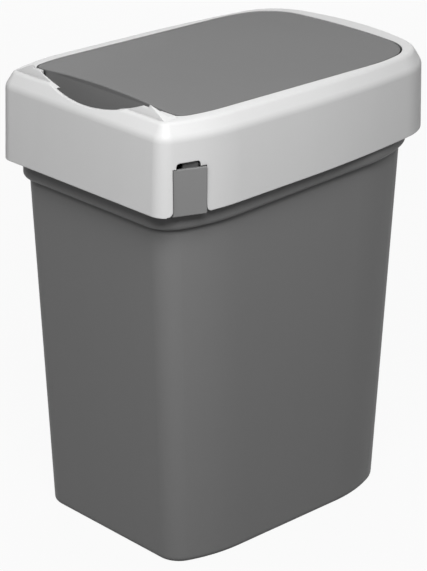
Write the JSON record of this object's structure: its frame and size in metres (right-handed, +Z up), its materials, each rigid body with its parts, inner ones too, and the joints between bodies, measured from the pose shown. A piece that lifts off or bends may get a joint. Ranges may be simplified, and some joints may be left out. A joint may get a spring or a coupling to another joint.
{
  "type": "lidded waste bin",
  "caption": "Tapered household waste bin with a lift-off collar, a flush crowned flap over a finger slot, and side clips that hold the collar on the bucket.",
  "frame": {"origin": "centre of the bounding box at the floor, under the middle of the collar", "axes": "+Z up, -Y towards the finger slot at the front, +X to the right seen from the front"},
  "size_m": [0.1906, 0.28, 0.3412],
  "materials": {
    "bucket": "dark grey, fine satin grain",
    "collar": "light grey, smooth satin",
    "lid": "dark grey, fine satin grain",
    "pin": "dark grey, smooth",
    "clip": "mid grey, smooth satin"
  },
  "bodies": {
    "bucket": {"bin_body": "bucket"},
    "collar": {"collar": "collar", "lid_pin_right": "pin", "lid_pin_left": "pin"},
    "flap": {"lid_flap": "lid"},
    "right_clip": {"clip_right": "clip"},
    "left_clip": {"clip_left": "clip"}
  },
  "joints": [
    {"name": "collar_lift", "type": "slide", "parent": "bucket", "child": "collar", "axis": [0, 0, 1], "range_m": [0, 0.09]},
    {"name": "flap_hinge", "type": "hinge", "parent": "collar", "child": "flap", "pos_m": [0, 0.062, 0.3289], "axis": [-1, 0, 0], "range_deg": [0, 80]},
    {"name": "right_clip_hinge", "type": "hinge", "parent": "bucket", "child": "right_clip", "pos_m": [0.0846, -0.11779, 0.2727], "axis": [0.3584, 0.9336, 0], "range_deg": [0, 90]},
    {"name": "left_clip_hinge", "type": "hinge", "parent": "bucket", "child": "left_clip", "pos_m": [-0.0846, -0.11779, 0.2727], "axis": [0.3584, -0.9336, 0], "range_deg": [0, 90]}
  ]
}
